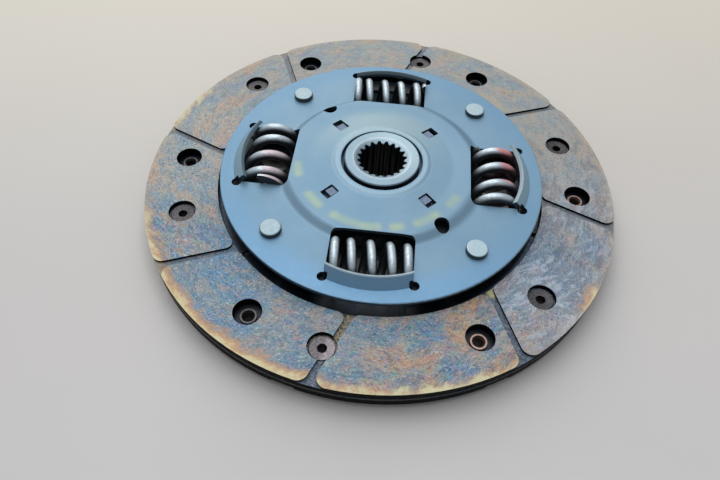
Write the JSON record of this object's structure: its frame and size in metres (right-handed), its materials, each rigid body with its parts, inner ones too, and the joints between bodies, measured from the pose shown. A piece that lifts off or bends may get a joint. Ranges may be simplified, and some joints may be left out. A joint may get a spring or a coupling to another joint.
{
  "type": "clutch driven disc",
  "caption": "Clutch driven disc: grooved friction rings on a cushioned steel plate, with a coil-spring torsional damper and a splined hub.",
  "frame": {"origin": "on the shaft axis, at the mid-plane of the hub flange, halfway along the hub", "axes": "+Z along the shaft axis towards the gearbox side, which carries the retainer plate; +X and +Y in the plane of the disc, +Y away from the viewer of the front picture"},
  "size_m": [0.2, 0.2, 0.0228],
  "materials": {
    "friction_facing": "resin-bonded fibre, worn, with light flecks",
    "facing_rivets": "copper-plated, dull",
    "cushion_steel": "blued spring steel",
    "plate_steel": "plain pressed steel, light blue-grey",
    "hub_steel": "forged and turned steel",
    "spring_steel": "bright spring wire",
    "pin_steel": "plain steel",
    "moulded_friction": "moulded resin, light grey"
  },
  "bodies": {
    "disc": {"front_facing": "friction_facing", "rear_facing": "friction_facing", "front_facing_rivets": "facing_rivets", "rear_facing_rivets": "facing_rivets", "segment_rivets": "pin_steel", "retainer_plate": "plate_steel", "disc_plate": "plate_steel", "stop_pins": "pin_steel", "centring_bush": "moulded_friction", "thrust_washer": "moulded_friction", "cone_spring": "spring_steel", "cushion_segment_1": "cushion_steel", "cushion_segment_2": "cushion_steel", "cushion_segment_3": "cushion_steel", "cushion_segment_4": "cushion_steel", "cushion_segment_5": "cushion_steel", "cushion_segment_6": "cushion_steel"},
    "hub": {"hub": "hub_steel"},
    "springs": {"damper_spring_1": "spring_steel", "damper_spring_2": "spring_steel", "damper_spring_3": "spring_steel", "damper_spring_4": "spring_steel"}
  },
  "joints": [
    {"name": "hub_twist", "type": "hinge", "parent": "disc", "child": "hub", "pos_m": [0, 0, 0], "axis": [0, 0, 1], "range_deg": [-8, 8], "stiffness_Nm_per_rad": 1600, "deforming": ["damper_spring_1", "damper_spring_2", "damper_spring_3", "damper_spring_4"]},
    {"name": "spring_follow", "type": "hinge", "parent": "disc", "child": "springs", "pos_m": [0, 0, 0], "axis": [0, 0, 1], "range_deg": [-4, 4]}
  ],
  "couplings": [
    {"joint": "spring_follow", "follows": "hub_twist", "ratio": 0.5}
  ]
}
